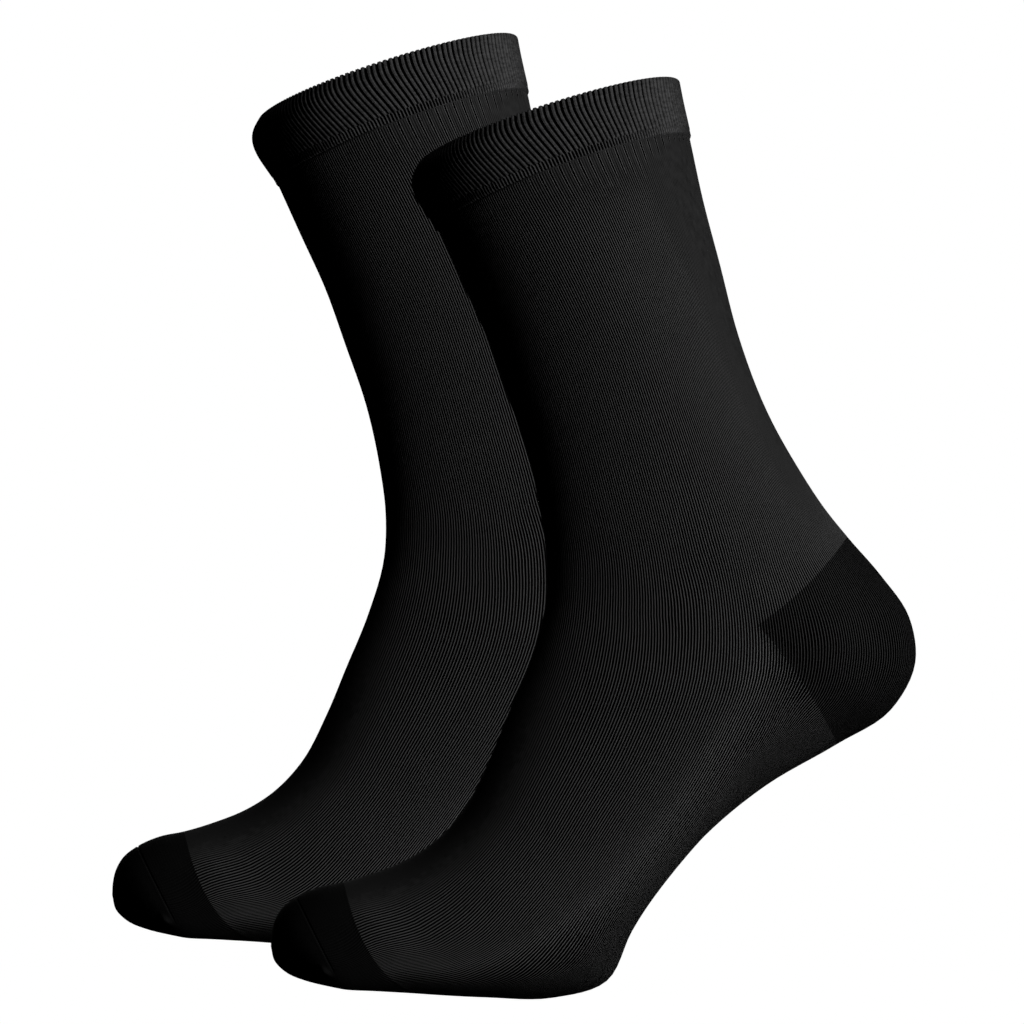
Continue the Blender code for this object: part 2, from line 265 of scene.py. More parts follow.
def lineAngles(place, columns):
    # the angle at which each column of the knit passes this place
    front, side, back = slidesAt(place)
    atDiagonal = side * math.sqrt(0.5)       # what the side's slide gives at 45 and 135 degrees
    lines = halfAngles + sideLobe * side
    lines += frontLobe * (front - atDiagonal) + backLobe * (back - atDiagonal)
    # past the heel's corner the knit runs straight on
    behind, up = (ringAt(place, halfAngles) - cornerPoint)[:, (0, 2)].T
    reach, end = knitLines["cornerReach"]
    share = 1 - eased(np.hypot(behind, up), reach, end - reach)
    closer = 1 + knitLines["cornerSpread"] * up + knitLines["cornerFlare"] * up * up
    passed = behind * closer + up * math.tan(knitLines["cornerLean"])
    passed += up * up / (2 * knitLines["cornerBow"])
    passed = passed / knitLines["cornerPitch"] * 2 * math.pi / knitLines["count"]
    lines += (corner * 2 * math.pi / columnCount + passed - lines) * share
    turn = columns * 2 * math.pi / columnCount
    angles = np.interp(np.where(turn > math.pi, 2 * math.pi - turn, turn), lines, halfAngles)
    return np.where(turn > math.pi, 2 * math.pi - angles, angles)


def ringIds(start, rows, columns):
    # point numbers of a grid of closed rings; the first column comes again at the end
    ids = start + np.arange(rows * columns).reshape(rows, columns)
    return np.concatenate([ids, ids[:, :1]], axis=1)


def gridFaces(ids, coords, flip=False):
    corners = [(slice(None, -1), slice(None, -1)), (slice(1, None), slice(None, -1)),
               (slice(1, None), slice(1, None)), (slice(None, -1), slice(1, None))]
    if flip:
        corners.reverse()
    faces = np.stack([ids[c] for c in corners], axis=-1).reshape(-1, 4)
    uvs = np.stack([coords[c] for c in corners], axis=-2).reshape(-1, 4, 2)
    return list(zip(faces.tolist(), uvs.tolist()))


edgeStitch = (0.5, 0.5)      # knit coordinates along a cut edge, in the middle of a line


def edgeStrip(outerIds, innerIds, stride, flip):
    # closes the wall's edge: each face has a run of fine outer points and two inner ones
    strip = []
    for k in range(len(innerIds) - 1):
        outer = outerIds[k * stride:(k + 1) * stride + 1].tolist()
        face = [*outer, int(innerIds[k + 1]), int(innerIds[k])]
        strip.append((face[::-1] if flip else face, [edgeStitch] * len(face)))
    return strip


def makeMesh(name, points, gaps, faces, borders, material):
    # doubled corners and unused points are dropped, so that rings may close in one point
    faceList, uvList = [], []
    for face, uv in faces:
        kept = [k for k in range(len(face)) if face[k] not in face[:k]]
        if len(kept) > 2:
            faceList.append([face[k] for k in kept])
            uvList.extend(uv[k] for k in kept)
    used, flat = np.unique(np.concatenate(faceList), return_inverse=True)
    ends = np.cumsum([len(f) for f in faceList])
    faceList = [part.tolist() for part in np.split(flat.ravel(), ends[:-1])]
    mesh = bpy.data.meshes.new(name)
    mesh.from_pydata(points[used].tolist(), [], faceList)
    layer = mesh.uv_layers.new(name="knit")
    layer.uv.foreach_set("vector", np.array(uvList, dtype=np.float32).ravel())
    mesh.shade_smooth()
    # each point's painted shade for the gaps, read by the material
    gapValues = np.zeros(len(points), dtype=np.float32)
    gapValues[:gaps.size] = gaps.ravel()
    mesh.attributes.new("gap", "FLOAT", "POINT").data.foreach_set("value", gapValues[used])
    # the cut edges of the wall stay crisp
    edgeEnds = np.zeros(len(mesh.edges) * 2, dtype=np.int32)
    mesh.edges.foreach_get("vertices", edgeEnds)
    onBorder = np.isin(used, np.concatenate([np.ravel(b) for b in borders]))
    crisp = onBorder[edgeEnds.reshape(-1, 2)].all(axis=1)
    mesh.attributes.new("sharp_edge", "BOOLEAN", "EDGE").data.foreach_set("value", crisp)
    mesh.materials.append(material)
    return mesh


# the knit's materials: u counts the lines of the knit, and v counts stitches along them
yarn = {
    "armPower": 3.0,         # how sharply a stitch's arm ends beside the gaps
    "fibreScale": 2200.0,    # noise cells to a metre
    "fibreDetail": 3.0,
    "fibreRough": 0.65,
    "mottleScale": 60.0,
    "mottleDetail": 2.0,
    "mottleTone": 0.2,
    "gapApart": 7.31,        # from gap to gap in the noise that breaks them into dashes
    "noDashes": 0.1,         # gaps shallower than this stay plain
    "gapFull": 1.6,          # a gap this deep takes its whole share of the tone
    "gapPower": 0.7,
    "roughSpread": 0.2,
    "bumpDepth": 0.1 * mm,
}


def knitMaterial(name, look):
    material = bpy.data.materials.new(name)
    material.use_nodes = True
    nodes, links = material.node_tree.nodes, material.node_tree.links
    shader = nodes["Principled BSDF"]

    def maths(operation, *values):
        node = nodes.new("ShaderNodeMath")
        node.operation = operation
        for k, value in enumerate(values):
            if isinstance(value, (int, float)):
                node.inputs[k].default_value = value
            else:
                links.new(value, node.inputs[k])
        return node.outputs[0]

    uv = nodes.new("ShaderNodeUVMap")
    uv.uv_map = "knit"
    split = nodes.new("ShaderNodeSeparateXYZ")
    links.new(uv.outputs[0], split.inputs[0])
    u, v = split.outputs[0], split.outputs[1]

    def fromMiddle(value):
        return maths("MULTIPLY", maths("ABSOLUTE", maths("SUBTRACT", maths("FRACT", value), 0.5)), 2.0)

    def varied(value, share):
        # 1 on average, and this share of it follows the value
        return maths("MULTIPLY_ADD", value, share, 1.0 - share * 0.5)

    def noise(vector, scale, detail, roughness=0.5, dimensions="3D"):
        node = nodes.new("ShaderNodeTexNoise")
        node.noise_dimensions = dimensions
        node.inputs["Scale"].default_value = scale
        node.inputs["Detail"].default_value = detail
        node.inputs["Roughness"].default_value = roughness
        links.new(vector, node.inputs["Vector"])
        return node.outputs["Fac"]

    # each stitch is a V: its two arms are the wale's two lines and slant in to its middle
    acrossLine = fromMiddle(u)
    acrossWale = fromMiddle(maths("MULTIPLY", u, 0.5))
    armPhase = maths("SUBTRACT", v, maths("MULTIPLY", acrossWale, look["armSlope"]))
    arm = maths("MULTIPLY_ADD", maths("COSINE", maths("MULTIPLY", armPhase, 2 * math.pi)), 0.5, 0.5)
    arm = maths("MULTIPLY", arm, maths("SUBTRACT", 1.0, maths("POWER", acrossLine, yarn["armPower"])))

    # no two stitches are quite alike
    cell = nodes.new("ShaderNodeCombineXYZ")
    links.new(maths("FLOOR", u), cell.inputs[0])
    links.new(maths("FLOOR", armPhase), cell.inputs[1])
    chance = nodes.new("ShaderNodeTexWhiteNoise")
    chance.noise_dimensions = "2D"
    links.new(cell.outputs[0], chance.inputs["Vector"])

    place = nodes.new("ShaderNodeTexCoord").outputs["Object"]
    fibres = noise(place, yarn["fibreScale"], yarn["fibreDetail"], yarn["fibreRough"])
    mottle = noise(place, yarn["mottleScale"], yarn["mottleDetail"])
    tone = varied(arm, look["armTone"])
    tone = maths("MULTIPLY", tone, varied(chance.outputs["Value"], look["chanceTone"]))
    tone = maths("MULTIPLY", tone, varied(fibres, look["fibreTone"]))
    tone = maths("MULTIPLY", tone, varied(mottle, yarn["mottleTone"]))

    # painted shade: the gaps are painted dark, as little light comes back out of them; where they are
    # shallow, only dashes of that painted shade show
    attribute = nodes.new("ShaderNodeAttribute")
    attribute.attribute_name = "gap"
    gap = attribute.outputs["Fac"]
    along = nodes.new("ShaderNodeCombineXYZ")
    gapNumber = maths("ROUND", maths("MULTIPLY", u, 0.5))
    links.new(maths("MULTIPLY", gapNumber, yarn["gapApart"]), along.inputs[0])
    links.new(maths("MULTIPLY", v, look["dashLength"]), along.inputs[1])
    dashes = noise(along.outputs[0], 1.0, 1.0, dimensions="2D")
    shallow = maths("SUBTRACT", 1.0, maths("MINIMUM", gap, 1.0))
    shallow = maths("MULTIPLY", shallow, look["dashes"])
    shallow = maths("MULTIPLY", shallow, maths("GREATER_THAN", gap, yarn["noDashes"]))
    depth = maths("MULTIPLY_ADD", maths("SUBTRACT", dashes, 0.5), shallow, gap)
    depth = maths("MAXIMUM", depth, 0.0)
    shade = maths("POWER", acrossLine, look["gapWidth"]) if look["gapWidth"] else 1.0
    dark = maths("MINIMUM", maths("MULTIPLY", shade, depth), 1.0)
    tone = maths("MULTIPLY", tone, maths("SUBTRACT", 1.0, dark))

    # where the gaps' painted shade is faint, the yarn itself gets painted shade instead, so that the
    # cloth keeps one tone
    openness = maths("MINIMUM", maths("DIVIDE", gap, yarn["gapFull"]), 1.0)
    openness = maths("POWER", openness, yarn["gapPower"])
    kept = maths("SUBTRACT", 1.0, maths("MULTIPLY", openness, look["gapShare"]))
    tone = maths("MULTIPLY", tone, maths("DIVIDE", 1.0 - look["gapShare"], kept))
    paint = nodes.new("ShaderNodeVectorMath")
    paint.operation = "SCALE"
    paint.inputs[0].default_value = look["colour"]
    links.new(tone, paint.inputs["Scale"])
    links.new(paint.outputs[0], shader.inputs["Base Color"])

    height = maths("ADD", arm, maths("MULTIPLY", fibres, look["fibreBump"]))
    bump = nodes.new("ShaderNodeBump")
    bump.inputs["Strength"].default_value = look["bump"]
    bump.inputs["Distance"].default_value = yarn["bumpDepth"]
    links.new(height, bump.inputs["Height"])
    links.new(bump.outputs[0], shader.inputs["Normal"])
    smoothest = look["roughness"] - yarn["roughSpread"] / 2
    rough = maths("MULTIPLY_ADD", fibres, yarn["roughSpread"], smoothest)
    links.new(rough, shader.inputs["Roughness"])
    shader.inputs["Specular IOR Level"].default_value = look["specular"]
    material.diffuse_color = (*look["colour"], 1)
    return material


# the tones are how much of the colour varies; gapShare is how much painted shade the yarn gets where
# there are no gaps, and dashLength counts cells of noise to a stitch
knitLook = {
    "plain": {"colour": (0.228, 0.228, 0.229), "roughness": 0.9, "specular": 0.03,
              "armSlope": 0.6, "armTone": 0.04, "chanceTone": 0.04, "fibreTone": 0.2,
              "gapWidth": 0.6, "gapShare": 0.903, "dashes": 1.5, "dashLength": 0.3,
              "fibreBump": 0.7, "bump": 0.12},
    "dense": {"colour": (0.075, 0.075, 0.0755), "roughness": 0.92, "specular": 0.02,
              "armSlope": 0.6, "armTone": 0.1, "chanceTone": 0.1, "fibreTone": 0.3,
              "gapWidth": 0.6, "gapShare": 0.905, "dashes": 0.0, "dashLength": 0.3,
              "fibreBump": 0.7, "bump": 0.4},
    "ribbed": {"colour": (0.088, 0.088, 0.089), "roughness": 0.88, "specular": 0.03,
               "armSlope": 0.5, "armTone": 0.06, "chanceTone": 0.12, "fibreTone": 0.35,
               "gapWidth": 0, "gapShare": 0.0, "dashes": 1.4, "dashLength": 1.1,
               "fibreBump": 0.8, "bump": 0.3},
}
plainMaterial = knitMaterial("plainKnit", knitLook["plain"])
denseMaterial = knitMaterial("denseKnit", knitLook["dense"])
ribbedMaterial = knitMaterial("ribbedKnit", knitLook["ribbed"])
print("materials ready")

# plain knit, for the leg, the foot, the heel and the toe
plainKnit = {
    "depth": 0.75,           # of a valley, as a share of a line's width
    "oddGap": 0.85,          # the valleys in the middle of the wales are less deep, with less painted shade
    "middle": 0.33,          # the top of a line over the skin, in the same share
    "dark": 1.6,             # how dark the painted shade in the gaps is, over 1 for a wide black line
    "waver": 0.04,           # how much a gap's depth wavers along it
    "waverPace": 7.3,        # radians a course
    "stitch": 1.04 * mm,     # height of one stitch
    "wall": 1.2 * mm,
    "stride": 12,            # outer points for each point of the lining
    "liningStep": 4,         # outer rings for each ring of the lining
}
goldenAngle = 2.399          # radians: from one to the next, so that neighbours aren't alike
allColumns = np.arange(columnCount)


def lineRelief(place, columns, pitch, strength):
    # a flat-topped ridge for each line, as high as the line is wide allows, and the gaps with their
    # painted shade
    nearest = (columns + 1) // knitLines["samples"]
    inValley = columns % knitLines["samples"] == 0
    waver = plainKnit["waver"] * np.sin(place * plainKnit["waverPace"] + nearest * goldenAngle)
    gap = (np.where(nearest % 2 == 0, 1, plainKnit["oddGap"]) + waver) * strength
    height = (plainKnit["middle"] * strength - gap * inValley) * pitch * plainKnit["depth"]
    return height, gap * plainKnit["dark"]


def distanceAlong(places, angle):
    line = np.array([ringAt(place, np.array([angle]))[0] for place in places])
    return np.concatenate([[0], np.cumsum(np.linalg.norm(np.diff(line, axis=0), axis=1))])


def knitGrid(places, columns, relief):
    # the outer points of the knit, the painted shade of its gaps, and the lining's points behind them
    outer, gaps, inner = [], [], []
    for place in places:
        angles = lineAngles(place, columns)
        ring, outward = skinAt(place, angles)
        apart = np.linalg.norm(np.roll(ring, -1, axis=0) - np.roll(ring, 1, axis=0), axis=1) / 2
        if len(columns) < columnCount:
            apart[[0, -1]] = apart[[1, -2]]
        height, gap = relief(place, columns, turnOf(angles), apart * knitLines["samples"])
        outer.append(ring + outward * height[:, None])
        gaps.append(gap)
        inner.append((ring - outward * plainKnit["wall"])[::plainKnit["stride"]])
    return np.array(outer), np.array(gaps), np.array(inner)


def knitCoords(columns, stitches):
    lines = np.asarray(columns) / knitLines["samples"]
    return np.stack(np.broadcast_arrays(lines[None, :], np.asarray(stitches)[:, None]), axis=-1)


def evenPlaces(start, end, steps):
    first, last = rowOf[start], rowOf[end]
    return [first + k / steps for k in range((last - first) * steps + 1)]


def liningRows(count):
    # the lining's rings are some of the outer ones, with the last one among them
    return sorted({*range(0, count, plainKnit["liningStep"]), count - 1})


legAndFoot = {
    "steps": 6,              # rings for each course
    "topRings": (0.03, 0.07, 0.11),      # more rings, in courses below the hem
    "firstCourse": 20 * mm,  # from the hem to the next course
    "smoothTop": 0.4 * mm,   # under the cuff the knit is smooth for this far
    "smoothLift": 0.1 * mm,  # and stands out by this
    # below that, on the side away from the toes, most valleys are shallow and some are deep and dark
    # with painted shade
    "hemLength": 10 * mm,
    "hemTurn": 55,
    "hemEase": 40,
    "hemGap": 0.55,
    "deepEvery": 4,          # one valley in so many
    "deepInFront": 0.3,      # share of their depth on the toes' side
    "deepLength": (2.5 * mm, 12 * mm),   # at the back and at the side
    "deepTurn": (118, 145),
    "deepGroup": 12,         # columns side by side that reach equally far
    "deepUneven": (0.8, 0.4),            # of that length: the least, and how much more at most
    "deepExtra": 3.4,
    "deepRelief": 0.4,       # share of it that is cut into the wall; all of it goes into the gap's painted shade
    # degrees: behind this, at the hem and low on the leg, it faces the lamp: shallow gaps, faint painted
    # shade
    "backTurn": (118, 132),
    "backEase": 30,
    "backGap": 0.25,
    "backFades": 2.5,        # courses over which that ends, on the lower leg
    # in front of this, at the ankle and at the toes, the top of the foot is smooth, with little painted
    # shade in its gaps
    "instepTurn": (16, 28),
    "instepEase": 22,
    "instepGap": 0.05,
    "instepStarts": 3,       # courses over which it begins
    "soleTurn": 84,          # behind this, under the foot, the gaps get more painted shade
    "soleEase": 40,
    "soleGap": 1.6,
}


def between(place, start, end, values):
    # from the first value to the second, over the courses from start to end
    first, last = values
    return first + (last - first) * smoothStep((place - rowOf[start]) / (rowOf[end] - rowOf[start]))


def legRelief(place, columns, turn, pitch):
    backTurn = between(place, "hem", "lowerLeg", legAndFoot["backTurn"])
    # the back of the leg faces the lamp, so its gaps get less painted shade and its yarn more
    litBack = eased(turn, backTurn, legAndFoot["backEase"])
    litBack = litBack * (1 - eased(place, rowOf["lowerLeg"], legAndFoot["backFades"]))
    strength = 1 - (1 - legAndFoot["backGap"]) * litBack
    below = (place - rowOf["hem"]) * legAndFoot["firstCourse"]
    grown = smoothStep(below / legAndFoot["smoothTop"])
    awayFromToes = eased(turn, legAndFoot["hemTurn"], legAndFoot["hemEase"])
    nearHem = math.exp(-(max(below, 0) / legAndFoot["hemLength"]) ** 2)
    strength = strength * (1 - (1 - legAndFoot["hemGap"]) * awayFromToes * nearHem)
    height, gap = lineRelief(place, columns, pitch, strength)
    deep = (columns + 1) // knitLines["samples"] % legAndFoot["deepEvery"] == 0
    deep = deep * (legAndFoot["deepInFront"] + (1 - legAndFoot["deepInFront"]) * awayFromToes)
    shortest, longest = legAndFoot["deepLength"]
    first, last = legAndFoot["deepTurn"]
    reach = shortest + (longest - shortest) * (1 - eased(turn, first, last - first))
    least, more = legAndFoot["deepUneven"]
    reach = reach * (least + more * np.sin(columns // legAndFoot["deepGroup"] * goldenAngle) ** 2)
    extra = deep * legAndFoot["deepExtra"] * np.exp(-(below / reach) ** 2)
    inValley = columns % knitLines["samples"] == 0
    height = height - inValley * extra * pitch * plainKnit["depth"] * legAndFoot["deepRelief"]
    return grown * height + (1 - grown) * legAndFoot["smoothLift"], grown * np.maximum(gap, extra)


def footRelief(place, columns, turn, pitch):
    instepTurn = between(place, "heelLow", "toeEdge", legAndFoot["instepTurn"])
    smooth = 1 - eased(turn, instepTurn, legAndFoot["instepEase"])
    smooth = smooth * eased(place, rowOf["heelLow"], legAndFoot["instepStarts"])
    height, gap = lineRelief(place, columns, pitch, 1 - (1 - legAndFoot["instepGap"]) * smooth)
    # painted shade: darker gaps under the foot
    sole = eased(turn, legAndFoot["soleTurn"], legAndFoot["soleEase"])
    return height, gap * (1 + (legAndFoot["soleGap"] - 1) * sole)


def makeLegAndFoot():
    stride = plainKnit["stride"]
    legPlaces = evenPlaces("hem", "heelTop", legAndFoot["steps"])
    legPlaces[1:1] = [legPlaces[0] + away for away in legAndFoot["topRings"]]
    footPlaces = evenPlaces("heelLow", "toeEdge", legAndFoot["steps"])
    legOuter, legGaps, legInner = knitGrid(legPlaces, allColumns, legRelief)
    footOuter, footGaps, footInner = knitGrid(footPlaces, allColumns, footRelief)
    innerColumns = columnCount // stride
    legRows, footRows = liningRows(len(legPlaces)), liningRows(len(footPlaces))
    grids = (legOuter, footOuter, legInner[legRows], footInner[footRows])
    points = np.concatenate([grid.reshape(-1, 3) for grid in grids])
    legIds = ringIds(0, len(legPlaces), columnCount)
    footIds = ringIds(legOuter.size // 3, len(footPlaces), columnCount)
    innerStart = (legOuter.size + footOuter.size) // 3
    legInnerIds = ringIds(innerStart, len(legRows), innerColumns)
    footInnerIds = ringIds(innerStart + len(legRows) * innerColumns, len(footRows), innerColumns)
    # in front of the heel's corners the foot's first ring is the leg's last one
    for ids, above, edge in ((footIds, legIds, corner), (footInnerIds, legInnerIds, corner // stride)):
        ids[0, :edge + 1] = above[-1, :edge + 1]
        ids[0, -edge - 1:] = above[-1, -edge - 1:]
    legStitches = distanceAlong(legPlaces, math.pi / 2) / plainKnit["stitch"]
    footStitches = legStitches[-1] + distanceAlong(footPlaces, math.pi / 2) / plainKnit["stitch"]
    columns, innerLines = np.arange(columnCount + 1), np.arange(innerColumns + 1) * stride
    faces = gridFaces(legIds, knitCoords(columns, legStitches))
    faces += gridFaces(footIds, knitCoords(columns, footStitches))
    faces += gridFaces(legInnerIds, knitCoords(innerLines, legStitches[legRows]), flip=True)
    faces += gridFaces(footInnerIds, knitCoords(innerLines, footStitches[footRows]), flip=True)
    faces += edgeStrip(legIds[0], legInnerIds[0], stride, False)
    faces += edgeStrip(footIds[-1], footInnerIds[-1], stride, True)
    back = slice(corner, columnCount - corner + 1)
    innerBack = slice(corner // stride, (columnCount - corner) // stride + 1)
    faces += edgeStrip(legIds[-1][back], legInnerIds[-1][innerBack], stride, True)
    faces += edgeStrip(footIds[0][back], footInnerIds[0][innerBack], stride, False)
    borders = (legIds[0], footIds[-1], legIds[-1][back], footIds[0][back])
    gaps = np.concatenate([legGaps.ravel(), footGaps.ravel()])
    return makeMesh("legAndFoot", points, gaps, faces, borders, plainMaterial)


heelPocket = {
    "steps": 6,
    "depth": 0.95,
    "gap": (1.2, 1.5),       # painted shade of the gaps, at the side and at the back
    "backTurn": 125,
    "backEase": 35,
}


def heelRelief(place, columns, turn, pitch):
    height, gap = lineRelief(place, columns, pitch, heelPocket["depth"])
    sideGap, backGap = heelPocket["gap"]
    atBack = eased(turn, heelPocket["backTurn"], heelPocket["backEase"])
    return height, gap * (sideGap + (backGap - sideGap) * atBack)


def makeHeel():
    stride = plainKnit["stride"]
    places = evenPlaces("heelTop", "heelLow", heelPocket["steps"])
    columns = np.arange(corner, columnCount - corner + 1)
    outer, gaps, inner = knitGrid(places, columns, heelRelief)
    rows = liningRows(len(places))
    ids = np.arange(outer.size // 3).reshape(outer.shape[:2])
    innerIds = outer.size // 3 + np.arange(len(rows) * inner.shape[1]).reshape(len(rows), -1)
    # the rings all meet in the two corners at the ankle
    for grid in (ids, innerIds):
        grid[:, 0] = grid[0, 0]
        grid[:, -1] = grid[0, -1]
    stitches = distanceAlong(places, math.pi) / plainKnit["stitch"]
    faces = gridFaces(ids, knitCoords(columns, stitches))
    faces += gridFaces(innerIds, knitCoords(columns[::stride], stitches[rows]), flip=True)
    faces += edgeStrip(ids[0], innerIds[0], stride, False)
    faces += edgeStrip(ids[-1], innerIds[-1], stride, True)
    points = np.concatenate([outer.reshape(-1, 3), inner[rows].reshape(-1, 3)])
    return makeMesh("heel", points, gaps, faces, (ids[0], ids[-1]), denseMaterial)


toeCap = {
    "steps": 5,
    # rings beside the linking seam, in mm from it, and the courses beside it with no other rings
    "seamRings": (-1.4, -0.9, -0.55, -0.3, -0.15, 0, 0.15, 0.3, 0.55, 0.9, 1.4, 2.0, 2.5, 3.6, 4.0, 5.0),
    "seamClear": 0.19,
    "mmPerCourse": (9.5, 7.5),       # before the seam and past it
    "edgeCourses": 0.25,     # over which the foot's lines turn into the cap's
    "grooveDepth": 0.4 * mm,
    "grooveWidth": 0.28 * mm,
    "ridge": 0.05 * mm,
    "ridgePast": 0.8 * mm,   # past the seam
    "ridgeWidth": 0.5 * mm,
    # painted shade in the seam's groove
    "seamGap": 1.5,
    "seamEnd": 80,           # degrees: the seam goes over the toes from side to side
    "seamEase": 10,
    "knot": 1.2 * mm,
    "knotSize": 1.5 * mm,
    "knotStretch": 1.3,      # round the sock
    "knotPast": 3.0 * mm,    # past the seam
    "knotTurn": 89,
    "knotAway": 21 * mm,     # from the middle of the sock
    # the knot's gaps get painted shade, and its yarn less of the toe's painted shade
    "knotGap": 0.9,
    "lines": (0.2, 0.5),     # the lines are fainter than on the foot, most of all on its top, where the yarn gets painted shade instead
    "lowerTurn": 40,
    "lowerEase": 50,
    # more painted shade in the gaps under the toes
    "lowerGap": 1.4,
    "tipLines": 0.1,         # and fainter still past the seam
    "tipFrom": 0.5,          # mm before the seam
    "tipEase": 3,            # mm
}


def toeRelief(place, columns, turn, pitch):
    seamRow = rowOf["toeSeam"]
    past = (place - seamRow) * toeCap["mmPerCourse"][place > seamRow] * mm
    onSeam = 1 - eased(turn, toeCap["seamEnd"], toeCap["seamEase"])
    inCap = eased(place, rowOf["toeEdge"], toeCap["edgeCourses"])
    lower = eased(turn, toeCap["lowerTurn"], toeCap["lowerEase"])
    faintest, plainest = toeCap["lines"]
    strength = 1 - (1 - faintest - (plainest - faintest) * lower) * inCap
    strength *= 1 - (1 - toeCap["tipLines"]) * eased(past / mm, -toeCap["tipFrom"], toeCap["tipEase"])
    height, gap = footRelief(place, columns, turn, pitch)
    groove = math.exp(-(past / toeCap["grooveWidth"]) ** 2)
    ridge = toeCap["ridge"] * math.exp(-((past - toeCap["ridgePast"]) / toeCap["ridgeWidth"]) ** 2)
    height = height * strength + onSeam * (ridge - groove * toeCap["grooveDepth"])
    # painted shade of the gaps: deeper under the toes, in the seam's groove and on the knot
    gap = gap * strength * (1 + (toeCap["lowerGap"] - 1) * lower * inCap)
    gap = np.maximum(gap, onSeam * groove * toeCap["seamGap"])
    aside = np.radians(turn - toeCap["knotTurn"]) * toeCap["knotAway"]
    acrossKnot = (aside / toeCap["knotSize"] / toeCap["knotStretch"]) ** 2
    knot = np.exp(-(acrossKnot + ((past - toeCap["knotPast"]) / toeCap["knotSize"]) ** 2))
    return height + toeCap["knot"] * knot, np.maximum(gap, toeCap["knotGap"] * knot)


def makeToe():
    stride = plainKnit["stride"]
    seamRow = rowOf["toeSeam"]
    places = evenPlaces("toeEdge", "tip", toeCap["steps"])
    places = [place for place in places if abs(place - seamRow) > toeCap["seamClear"]]
    places += [seamRow + away / toeCap["mmPerCourse"][away > 0] for away in toeCap["seamRings"]]
    places.sort()
    outer, gaps, inner = knitGrid(places, allColumns, toeRelief)
    rows = liningRows(len(places))
    ids = ringIds(0, len(places), columnCount)
    innerIds = ringIds(outer.size // 3, len(rows), columnCount // stride)
    ids[-1] = ids[-1, 0]
    innerIds[-1] = innerIds[-1, 0]
    stitches = distanceAlong(places, math.pi / 2) / plainKnit["stitch"]
    faces = gridFaces(ids, knitCoords(np.arange(columnCount + 1), stitches))
    innerLines = np.arange(columnCount // stride + 1) * stride
    faces += gridFaces(innerIds, knitCoords(innerLines, stitches[rows]), flip=True)
    faces += edgeStrip(ids[0], innerIds[0], stride, False)
    points = np.concatenate([outer.reshape(-1, 3), inner[rows].reshape(-1, 3)])
    return makeMesh("toe", points, gaps, faces, (ids[0],), denseMaterial)


# a share of the way down goes from 0 at the rim to 1 at the hem
ribbedCuff = {
    # heights across two ribs, from the wide valley over the narrow one, and the painted shade on each,
    # darkest in the gaps
    "profile": (0.0, 0.5, 1.0, 0.88, 1.0, 0.65, 0.1, 0.65, 1.0, 0.9, 1.0, 0.5),
    "gaps": (1.3, 1.05, 0.1, 0.6, 0.05, 0.75, 1.2, 0.7, 0.05, 0.4, 0.1, 1.05),
    # the same across one bar, in the row of short bars above the hem
    "bars": (-0.2, 0.5, 0.9, 0.5),
    "barGaps": (1.7, 0.6, 0.0, 0.6),
    "height": 1.25 * mm,
    "foot": -0.5 * mm,       # of the wide valleys, under the skin
    "length": 20 * mm,
    # rings: from the hem up past the bars, up the ribs (from, to, how many), round the rim,
    # and down inside
    "hemRings": (1, 0.995, 0.985, 0.97, 0.95, 0.93, 0.91, 0.89, 0.87, 0.855, 0.84),
    "ribRings": (0.8, 0.07, 22),
    "rimRings": 9,
    "insideRings": (0.07, 1, 12),
    "rimStands": 0.7,        # how much the ribs stand out on top of the rim and inside
    "insideStands": 0.4,
    "shoulder": 0.25,        # share of the way down at which the cuff stops widening
    "drift": math.radians(10),       # the ribs slide round the leg on their way down
    "driftTurn": math.radians(18),
    "driftEnd": 0.88,
    "driftEven": 0.75,       # share of the slide that goes evenly, the rest with ease
    "driftBackTurn": 75,     # degrees: behind this it is over sooner
    "driftBackEase": 40,
    "driftBackPower": 1.5,
    "roll": 0.6 * mm,        # radius of the rolled rim
    "barsFrom": 0.85,
    "barsEase": 0.02,
    "barsTo": 0.98,
    "hemEase": 0.015,
    "hemHeight": 0.45,
    # hemGap is the painted shade on the hem
    "hemGap": 0.6,
    "hemGapInFront": 0.35,   # more of it toward the front, where the hem lies in shade
    "hemTurn": 60,
    "hemTurnEase": 40,
    "knob": 0.3 * mm,        # where a wide valley ends on the hem
    "knobWidth": 1.6,        # columns
    "knobPlace": 0.985,
    "knobLength": 0.02,
    "stitch": 1.1 * mm,
    "backTurn": 125,         # degrees: further back the painted shade in the gaps between the ribs is fainter
    "backEase": 35,
    "backGap": 0.75,
    "edgeTurn": 145,         # degrees: further back the whole rib, and the bars, get painted shade
    "edgeEase": 30,
    "edgeGap": 0.4,
    "barEdgeGap": 0.6,
}


def cuffPath():
    # share of the way down, distance from the skin, how much the ribs stand out, and whether
    # it is outside: from the hem over the rim to the hem
    outside = [*ribbedCuff["hemRings"], *np.linspace(*ribbedCuff["ribRings"])]
    path = [(down, 0, 1, True) for down in outside]
    rimShare = ribbedCuff["roll"] / ribbedCuff["length"]
    onTop = ribbedCuff["rimStands"]
    for turn in np.linspace(0, math.pi, ribbedCuff["rimRings"]):
        away = (math.cos(turn) - 1) * ribbedCuff["roll"]
        stand = onTop + (1 - onTop) * math.cos(turn)
        path.append((rimShare * (1 - math.sin(turn)), away, stand, turn <= math.pi / 2))
    inside, stand = np.linspace(*ribbedCuff["insideRings"]), ribbedCuff["insideStands"]
    return path + [(down, -2 * ribbedCuff["roll"], stand, False) for down in inside]


def roundTheCuff(profile):
    return np.tile(profile, columnCount // len(profile))


